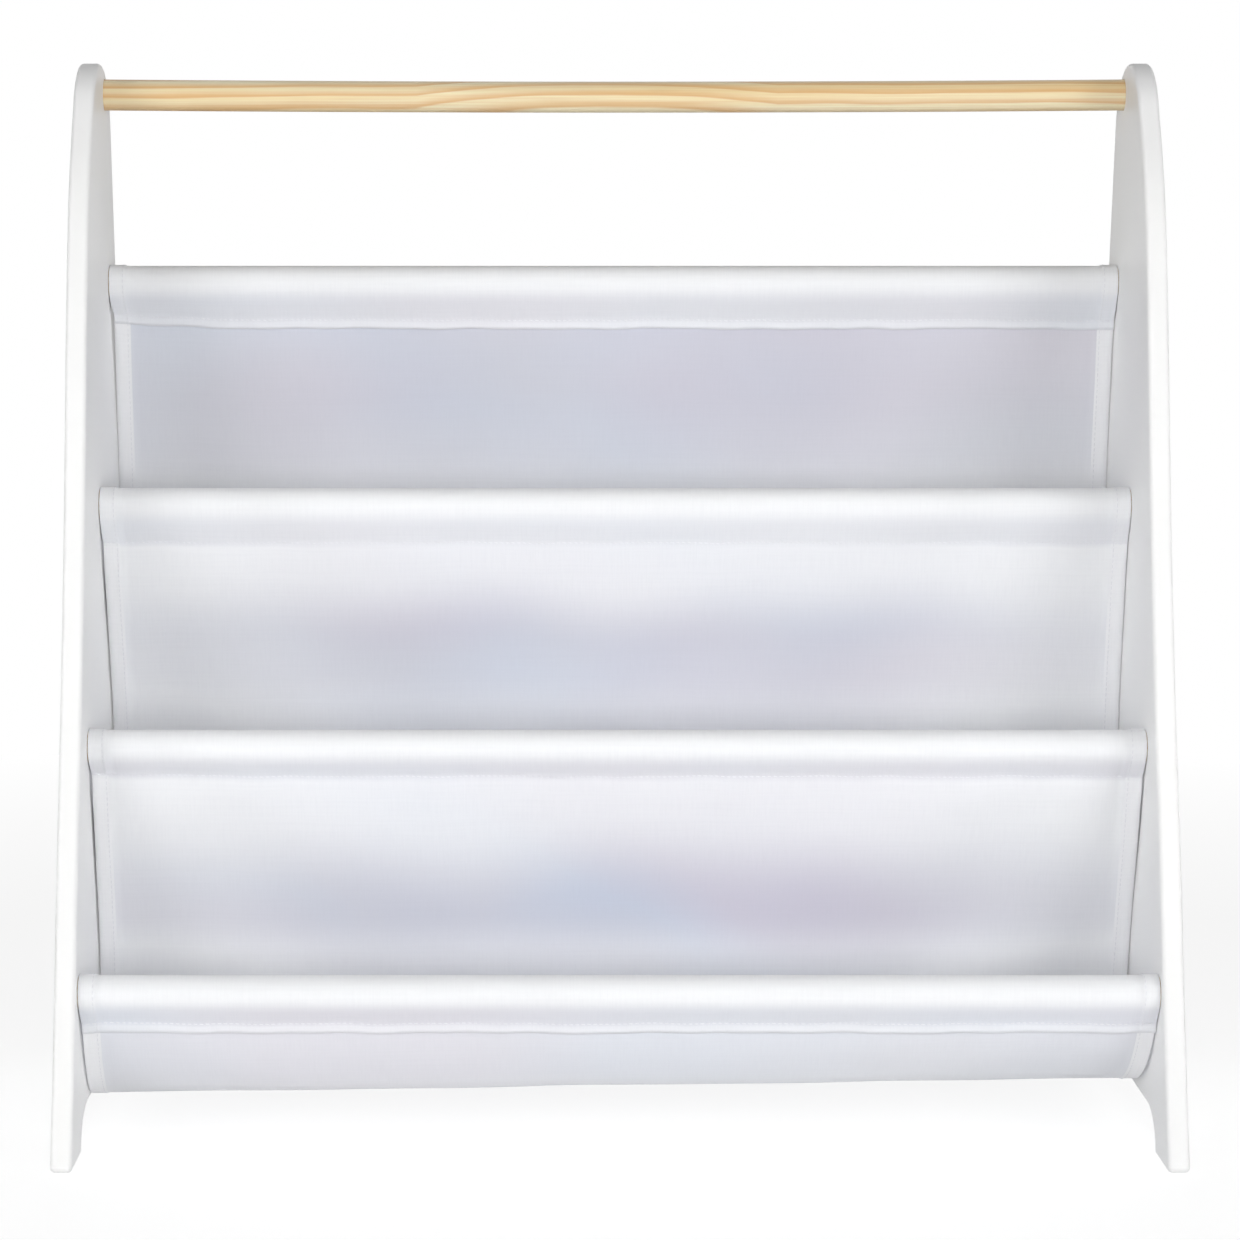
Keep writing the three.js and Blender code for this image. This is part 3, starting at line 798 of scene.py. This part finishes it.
def strip_rows():
    """For each row of the strip: its stretch's kind and number, its place in it and how many rows that has."""
    stretches = [("flap", 0, FLAP_ROWS), ("sleeve", 0, SLEEVE_LENGTH)]
    for number in range(POCKET_COUNT):
        stretches += [("pocket", number, POCKET_LENGTH), ("sleeve", number + 1, SLEEVE_LENGTH)]
    stretches.append(("flap", POCKET_COUNT, FLAP_ROWS))
    return [(kind, number, i, count) for kind, number, count in stretches for i in range(count)]


def waves(position, lengths, seed):
    """A sum of sine waves of the given lengths with seeded phases, from about -1 to 1."""
    phases = np.random.default_rng(seed).uniform(0, 2 * math.pi, len(lengths))
    parts = [np.sin(2 * math.pi * position / length + phase) for length, phase in zip(lengths, phases)]
    return np.sum(parts, axis=0) / math.sqrt(len(lengths))


def lengths_along(line):
    """The distance from a line's start to each of its points."""
    return np.concatenate([[0], np.cumsum(np.linalg.norm(np.diff(line, axis=0), axis=1))])


def smooth_step(value, low, high):
    """0 at low and before it, 1 at high and past it, with a soft start and end."""
    t = np.clip((value - low) / (high - low), 0, 1)
    return t * t * (3 - 2 * t)


# Layers: a single wall's, those it gains at the sides and low down, and those of the other stretches. Cloth lets
# light through, so where less light falls on it, low in a pocket and at the sides, it looks no darker; what a
# wall gains at the sides and low down is painted light, which cancels the shade that falls there.
SINGLE_LAYERS = [0.12, 0.08, 0]
SIDE_PAINTED_LIGHT = [0.28, 0.62, 0.62]
SIDE_START = 0.35
LOW_PAINTED_LIGHT = [0.34, 0.28, 0.08]
LOW_REACH = (62.5 * MM, 131.25 * MM)
FOOT_PAINTED_LIGHT = [0.52, 0.3, 0.62]
FOOT_REACH = (100 * MM, 137.5 * MM)
UNDER_LAYERS = 0.5
FRONT_LAYERS = 0.82
FRONT_SHADE = 0.26
FRONT_SHADE_END = 0.6
FLAP_LAYERS = 0.7
# Painted shade: the sleeves are darker where the cloth hangs below its rod
SLEEVE_FOOT_PAINTED_SHADES = np.array([0.35, 0.25, 0.35, 0.5])
SLEEVE_FOOT_REACH = (0.2 * ROD_RADIUS, 1.3 * ROD_RADIUS)
HEM_LAYERS = 1.6
HEM_EXTRA_LAYERS = 0.1
HEM_FADE = 0.6 * MM

# Where the pocket behind a wall makes it double: the layers in the middle and at the sides, and a wavy border. It
# is paler partly for the second layer and partly as painted light, standing in for light that the pocket sends
# back through the wall; at the sides it is paler still, as painted light against the shade beside the panels.
DOUBLE_LAYERS_AND_PAINTED_LIGHT = (0.76, 0.98)
DOUBLE_REACHES = {1: (18 * MM, 26 * MM), 2: (32 * MM, 24 * MM)}
BORDER_WAVE = 4 * MM
BORDER_WAVE_LENGTHS = [130 * MM, 210 * MM, 330 * MM]
BORDER_SEED = 20


class Strip:
    """The sling's middle surface as a grid of rows along the strip and columns across it."""

    def __init__(self):
        self.rows = strip_rows()
        kinds, numbers, places, counts = zip(*self.rows)
        self.kinds, self.numbers, self.index = np.array(kinds), np.array(numbers), np.array(places)
        at_seam = (self.kinds == "sleeve") & ((self.index == 0) | (self.index == np.array(counts) - 1))
        self.seams = np.flatnonzero(at_seam)
        self.from_edge = self.column_distances()
        self.thickness = np.where(self.from_edge < HEM_WIDTH, HEM_THICKNESS, CLOTH_THICKNESS)
        side = np.sign(np.linspace(-1, 1, len(self.from_edge)))
        stations = side * (SLING_HALF_WIDTH - self.from_edge) / SLING_HALF_WIDTH
        lines = [strip_line(station, thickness) for station, thickness in zip(stations, self.thickness)]
        section = np.stack(lines, axis=1)
        self.thickness[[0, -1]] *= HEM_FOLD_SHARE
        self.taper = np.ones(len(self.rows))
        self.taper[[0, 1, -2, -1]] = FLAP_TAPER
        self.along = lengths_along(section[:, section.shape[1] // 2])
        pull = self.edge_pull()
        left, right = pull[:, :1], pull[:, 1:]
        shift = np.where(stations < 0, left, -right) * np.abs(stations) ** 2
        x = stations * SLING_HALF_WIDTH + shift
        self.middle = np.dstack([x, section])
        self.normal = self.normals(self.middle)
        self.middle = self.middle + self.normal * self.relief(x)[:, :, None]
        self.normal = self.normals(self.middle)

    def column_distances(self):
        """How far each column lies from the nearer side edge, left to right."""
        hem = np.array(HEM_COLUMNS_MM) * MM
        half = np.linspace(hem[-1], SLING_HALF_WIDTH, MIDDLE_COLUMNS // 2 + 1)[1:]
        left = np.concatenate([hem, half])
        return np.concatenate([left, left[-2::-1]])

    def edge_pull(self):
        """How far the left and right edges are drawn in at each row: most at a seam, not at all on a rod."""
        pull = np.zeros((len(self.rows), 2))
        marks = [-1, PULL_FOOT_SHARE * WALL_ROWS, WALL_ROWS + UNDER_ROWS, POCKET_LENGTH]
        for row, (kind, number, i, _) in enumerate(self.rows):
            pull[row] = SEAM_PULLS[number]
            if kind == "pocket":
                values = [SEAM_PULLS[number], FOOT_PULLS[number], BOTTOM_PULLS[number], SEAM_PULLS[number + 1]]
                pull[row] = [np.interp(i, marks, side) for side in zip(*values)]
        on_sleeve = self.kinds == "sleeve"
        pull[on_sleeve] *= np.exp(-self.seam_distance()[on_sleeve, None] / PULL_REACH)
        return pull

    def seam_distance(self):
        """The length of cloth from each row to the nearest seam."""
        return np.min([np.abs(self.along - self.along[row]) for row in self.seams], axis=0)

    def relief(self, x):
        """Puckers beside the seams and slow swells over the walls, as a height on the middle surface."""
        from_seam = self.seam_distance()[:, None]
        along, index = self.along[:, None], self.index[:, None]
        taut = (self.kinds == "sleeve")[:, None]
        hanging = (self.kinds == "pocket")[:, None] & (index < WALL_ROWS)
        puckers = waves(x + PUCKER_LEAN * along, PUCKER_LENGTHS, PUCKER_SEED)
        puckers *= PUCKER_DEPTH * np.exp(-from_seam / PUCKER_REACH) * np.where(taut, PUCKER_SLEEVE_SHARE, 1.0)
        puckers[(taut & (from_seam > PUCKER_SLEEVE_END))[:, 0]] = 0
        loose = smooth_step(from_seam, *SWELL_START) * np.where(hanging, 1.0, SWELL_FRONT_SHARE) * ~taut
        swells = waves(x + SWELL_LEAN * along, SWELL_LENGTHS, SWELL_SEED) * SWELL_DEPTH * loose
        curl = CURL_DEPTH * np.clip(1 - self.from_edge / CURL_WIDTH, 0, 1) ** 2
        free = smooth_step(from_seam, *CURL_START) * hanging
        free = free * smooth_step(index, WALL_ROWS, WALL_ROWS - CURL_FADE_ROWS)
        return puckers + swells - curl * free

    def normals(self, surface):
        """Unit normals: on the pockets' walls they point to the front."""
        along = np.gradient(surface, axis=0)
        across = np.gradient(surface, axis=1)
        normal = np.cross(along, across)
        return normal / np.linalg.norm(normal, axis=2)[:, :, None]

    def wall_layers(self, number, wall):
        """The layers on one pocket's wall, whose rows are given, with the painted light that the wall gains at
        its sides, low down and where it is double.
        """
        x, height = self.middle[wall, :, 0], self.middle[wall, :, 2]
        sideways = smooth_step(np.abs(x), SIDE_START * SLING_HALF_WIDTH, SLING_HALF_WIDTH)
        depth = ROD_CENTRES[number][1] - height
        single_and_painted_light = SINGLE_LAYERS[number] + SIDE_PAINTED_LIGHT[number] * sideways
        single_and_painted_light += LOW_PAINTED_LIGHT[number] * smooth_step(depth, *LOW_REACH)
        single_and_painted_light += FOOT_PAINTED_LIGHT[number] * smooth_step(depth, *FOOT_REACH)
        if number not in DOUBLE_REACHES:
            return single_and_painted_light
        border = BORDER_WAVE * waves(x, BORDER_WAVE_LENGTHS, BORDER_SEED + number)
        border += ROD_CENTRES[number][1] - POCKET_DROP
        below, above = DOUBLE_REACHES[number]
        share = smooth_step(height, border - below, border + above)
        middle, sides = DOUBLE_LAYERS_AND_PAINTED_LIGHT
        double_and_painted_light = middle + (sides - middle) * sideways
        return single_and_painted_light + (double_and_painted_light - single_and_painted_light) * share

    def sleeve_layers(self, sleeve):
        """The layers on the sleeves, whose rows are given: fewer where the cloth hangs below its rod, with no rod
        behind it, and darker there also as painted shade.
        """
        rod_heights = np.array([centre[1] for centre in ROD_CENTRES])
        below = rod_heights[self.numbers[sleeve]][:, None] - self.middle[sleeve, :, 2]
        painted_shade = SLEEVE_FOOT_PAINTED_SHADES[self.numbers[sleeve]][:, None]
        return 1 - painted_shade * smooth_step(below, *SLEEVE_FOOT_REACH)

    def layers(self):
        """0 where one layer of cloth hangs alone, 1 with more layers or a rod behind it, 2 for a folded hem, with
        painted light and shade added on the walls and sleeves.
        """
        pocket, sleeve = self.kinds == "pocket", self.kinds == "sleeve"
        front = pocket & (self.index >= WALL_ROWS + UNDER_ROWS)
        value = np.full(self.middle.shape[:2], FLAP_LAYERS)
        value[pocket] = UNDER_LAYERS
        rise = (self.index[front] - WALL_ROWS - UNDER_ROWS) / FRONT_ROWS
        value[front] = (FRONT_LAYERS - FRONT_SHADE * smooth_step(rise, 0, FRONT_SHADE_END))[:, None]
        for number in range(POCKET_COUNT):
            wall = pocket & (self.numbers == number) & (self.index < WALL_ROWS)
            value[wall] = self.wall_layers(number, wall)
        value[sleeve] = self.sleeve_layers(sleeve)
        value = np.clip(value, 0, 1)
        hem = smooth_step(self.from_edge, HEM_WIDTH + HEM_FADE, HEM_WIDTH - HEM_FADE)
        hem_value = np.where(pocket[:, None], HEM_LAYERS, value + HEM_EXTRA_LAYERS)
        return value + (hem_value - value) * hem


def make_sling(strip, material):
    """The strip as one closed mesh: its front, its back and the rim between them."""
    half = strip.thickness[None, :, None] * strip.taper[:, None, None] / 2
    front = strip.middle + strip.normal * half
    back = strip.middle - strip.normal * half
    rows, columns = front.shape[:2]
    vertices = np.concatenate([front.reshape(-1, 3), back.reshape(-1, 3)])
    count = rows * columns
    grid = np.arange(count).reshape(rows, columns)
    skin = np.stack([grid[:-1, :-1], grid[1:, :-1], grid[1:, 1:], grid[:-1, 1:]], axis=-1).reshape(-1, 4)
    lining = skin[:, ::-1] + count
    rim = np.concatenate([grid[0, :-1], grid[:-1, -1], grid[-1, :0:-1], grid[:0:-1, 0]])
    after = np.roll(rim, -1)
    edge = np.stack([rim, after, after + count, rim + count], axis=-1)
    piece = new_piece("sling_fabric", vertices, np.concatenate([skin, lining, edge]), material)
    mesh = piece.data
    layers = strip.layers().reshape(-1)
    attribute = mesh.attributes.new("layers", "FLOAT", "POINT")
    attribute.data.foreach_set("value", np.concatenate([layers, layers]).astype(np.float32))
    place = np.dstack([strip.middle[:, :, 0], np.broadcast_to(strip.along[:, None], (rows, columns))])
    place = np.concatenate([place.reshape(-1, 2)] * 2)
    corners = np.empty(len(mesh.loops), int)
    mesh.loops.foreach_get("vertex_index", corners)
    mesh.uv_layers.new(name="weave").data.foreach_set("uv", place[corners].astype(np.float32).ravel())
    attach(piece, "root")
    sleeves = [f"sling_sleeve_{n}" for n in (1, 2, 3, 4)]
    pockets = [f"sling_pocket_{n}" for n in (1, 2, 3)]
    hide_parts(*sleeves, *pockets)
    return piece


# Stitches: short threads that dip into the cloth at both ends, in rows beside the seams and the side hems
STITCH_LENGTH = 2.4 * MM
STITCH_PITCH = 3.3 * MM
STITCH_RADIUS = 0.22 * MM
STITCH_SIDES = 5
STITCH_PLACES = np.array([-0.5, -0.2, 0.2, 0.5]) * STITCH_LENGTH
STITCH_LIFTS = np.array([-0.6, 0.55, 0.55, -0.6]) * STITCH_RADIUS
STITCH_GIRTHS = np.array([0.6, 1, 1, 0.6]) * STITCH_RADIUS
HEM_STITCH_PLACE = HEM_WIDTH - 1.8 * MM


def stitch_rows(strip):
    """For each row of stitches: points on the middle surface, their normals and the cloth's half thickness."""
    rows = []
    half = strip.thickness / 2
    for row in strip.seams:
        outside = -1 if strip.numbers[row] == 0 else 1
        rows.append((strip.middle[row], outside * strip.normal[row], half))
    columns = len(strip.from_edge)
    place = int(np.argmin(np.abs(strip.from_edge[: columns // 2] - HEM_STITCH_PLACE)))
    for column in (place, columns - 1 - place):
        for outside in (-1, 1):
            points = strip.middle[:, column]
            rows.append((points, outside * strip.normal[:, column], half[column] * strip.taper))
    return rows


def make_stitching(strip, material):
    angles = np.linspace(0, 2 * math.pi, STITCH_SIDES, endpoint=False)
    vertices, faces = [], []
    for points, normals, half in stitch_rows(strip):
        length = lengths_along(points)
        for middle in np.arange(STITCH_PITCH, length[-1] - STITCH_PITCH / 2, STITCH_PITCH):
            at = middle + STITCH_PLACES
            centre = np.stack([np.interp(at, length, points[:, k]) for k in range(3)], axis=1)
            up = np.stack([np.interp(at, length, normals[:, k]) for k in range(3)], axis=1)
            up /= np.linalg.norm(up, axis=1)[:, None]
            ahead = centre[-1] - centre[0]
            ahead /= np.linalg.norm(ahead)
            centre = centre + up * (np.interp(at, length, half) + STITCH_LIFTS)[:, None]
            aside = np.cross(up, ahead)
            faces += tube_faces(len(vertices), len(at), STITCH_SIDES)
            for place, girth, beside, above in zip(centre, STITCH_GIRTHS, aside, up):
                vertices += [place + girth * (math.cos(a) * beside + math.sin(a) * above) for a in angles]
    piece = new_piece("sling_stitching", vertices, faces, material)
    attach(piece, "root")
    return piece


# Studio: white surroundings for the camera, and for the object soft low lamps in front under a dim sky. A lamp's
# level is the value that it gives a white surface.
SKY_LEVELS = (0.35, 0.2)
SKY_FRONT_SHARE = 1.7
SKY_REAR_SHARE = 0.25
SKY_REAR_FROM = 0.4
FLOOR_LIGHT = 0.08
FLOOR_HALF = 4.0
FLOOR_GLOW = 0.82
FLOOR_SHARE = 0.36
SHADOW_REACH = (0.75, 1.5)
KEY_PLACE = Vector((1.35, -1.8, 0.6))
KEY_SIZE = (0.9, 0.9)
KEY_LEVELS = {"left": 0.228, "right": 0.256}
SIDE_PLACE = Vector((2.3, -1.2, 0.3))
SIDE_SIZE = (0.6, 0.4)
SIDE_LEVEL = 0.23
SIDE_SPREAD = math.radians(24)
MIDDLE_PLACE = Vector((0, -2.9, 0.6))
MIDDLE_LEVEL = 0.12
REAR_PLACE = Vector((0, 3.0, 0.9))
REAR_SIZE = (1.2, 1.2)
REAR_LEVEL = 0.55
REAR_SPREAD = math.radians(26)
LIGHT_AIM = Vector((0, 0, 0.3))
LOW_AIM = Vector((0, 0, 0.2))


def make_world():
    """White for the camera and in reflections, and for the object a sky that is dimmer above and behind."""
    world = bpy.data.worlds.new("studio")
    world.use_nodes = True
    bpy.context.scene.world = world
    world.node_tree.nodes.clear()
    n = Nodes(world.node_tree)
    _, deep, up = n.parts(n.node("ShaderNodeTexCoord", {}, "Generated"))
    level = n.spread(up, 0.0, 1.0, *SKY_LEVELS)
    facing = n.spread(deep, -1.0, SKY_REAR_FROM, SKY_FRONT_SHARE, SKY_REAR_SHARE)
    unseen = {"Color": WHITE, "Strength": n.math("MULTIPLY", level, facing)}
    unseen = n.node("ShaderNodeBackground", unseen)
    seen = n.node("ShaderNodeBackground", {"Color": WHITE, "Strength": 1.0})
    rays = n.tree.nodes.new("ShaderNodeLightPath").outputs
    shown = n.math("MAXIMUM", rays["Is Camera Ray"], rays["Is Glossy Ray"])
    shown = n.math("MAXIMUM", shown, rays["Is Transmission Ray"])
    mix = n.node("ShaderNodeMixShader", {0: shown, 1: unseen, 2: seen})
    n.put(n.tree.nodes.new("ShaderNodeOutputWorld"), "Surface", mix)


def floor_material():
    """Floor: for the camera it glows up to white and keeps the object's shadow; for other light it is matt with a
    faint glow that lights the object from below, though it is no lamp.
    """
    r = Recipe("floor")
    r.surface(Base_Color=linear(240, 240, 240), Roughness=0.9, Specular_IOR_Level=0.0)
    r.surface(Emission_Color=WHITE, Emission_Strength=FLOOR_LIGHT)
    distance = r.node("ShaderNodeVectorMath", {0: r.place()}, "Value", operation="LENGTH")
    near = r.spread(distance, *SHADOW_REACH, 1.0, 0.0)
    catching = r.node("ShaderNodeBsdfDiffuse", {"Color": (FLOOR_SHARE, FLOOR_SHARE, FLOOR_SHARE, 1)})
    glow = r.node("ShaderNodeEmission", {"Strength": FLOOR_GLOW})
    white = r.node("ShaderNodeEmission", {})
    lit = r.node("ShaderNodeAddShader", {0: catching, 1: glow})
    faded = r.node("ShaderNodeMixShader", {0: near, 1: white, 2: lit})
    seen = r.node("ShaderNodeLightPath", {}, "Is Camera Ray")
    chosen = r.node("ShaderNodeMixShader", {0: seen, 1: r.shader.outputs[0], 2: faded})
    r.put(r.tree.nodes["Material Output"], "Surface", chosen)
    return r.material


def make_floor():
    corners = [(x * FLOOR_HALF, y * FLOOR_HALF, 0) for x, y in ((-1, -1), (1, -1), (1, 1), (-1, 1))]
    new_piece("floor", corners, [(0, 1, 2, 3)], floor_material())


def make_lamp(name, place, size, level, aim=LIGHT_AIM, spread=math.pi):
    """A soft lamp that lights a white surface at the aim up to level. A narrow spread makes a beam."""
    data = bpy.data.lights.new(name, "AREA")
    data.shape = "RECTANGLE"
    data.size, data.size_y = size
    data.spread = spread
    reach = (place - aim).length
    half = spread / 2
    gathered = 1 if spread == math.pi else math.tan(half) / (math.tan(half) - half)
    data.energy = level * (math.pi * reach) ** 2 / gathered
    lamp = new_object(name, data)
    lamp.location = place
    lamp.rotation_mode = "QUATERNION"
    lamp.rotation_quaternion = (aim - place).to_track_quat("-Z", "Y")
    lamp.visible_camera = False
    lamp.visible_glossy = False


# The scene
make_camera()
bpy.context.scene.view_settings.view_transform = "Standard"
make_world()
make_floor()
make_lamp("middle", MIDDLE_PLACE, KEY_SIZE, MIDDLE_LEVEL)
make_lamp("rear", REAR_PLACE, REAR_SIZE, REAR_LEVEL, LOW_AIM, REAR_SPREAD)
for side, label in ((-1, "left"), (1, "right")):
    mirror = Vector((side, 1, 1))
    make_lamp(f"key_{label}", KEY_PLACE * mirror, KEY_SIZE, KEY_LEVELS[label])
    make_lamp(f"side_{label}", SIDE_PLACE * mirror, SIDE_SIZE, SIDE_LEVEL, LOW_AIM, SIDE_SPREAD)

board = painted_board()
make_panel("left_board", "left_side_panel", -1, board)
make_panel("right_board", "right_side_panel", 1, board)
make_handle(pine("pine", HANDLE_CENTRE, lacquered=True))

plastic = cap_plastic()
finishes = {
    "bolt": metal("bolt_steel", linear(196, 199, 203), roughness=0.34, mottle=0.35),
    "insert": metal("insert_zinc", linear(206, 202, 190), roughness=0.42, mottle=0.6),
    "sling_rod": pine("hidden_pine", ROD_CENTRES[0], lacquered=False),
}
for name, node in sorted(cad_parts.items()):
    for start, material in finishes.items():
        if name.startswith(start):
            node.material_slots[0].material = material
    if name.startswith("cap_"):
        make_cap(name, plastic)

strip = Strip()
sling = make_sling(strip, sling_fabric())
stitching = make_stitching(strip, thread())
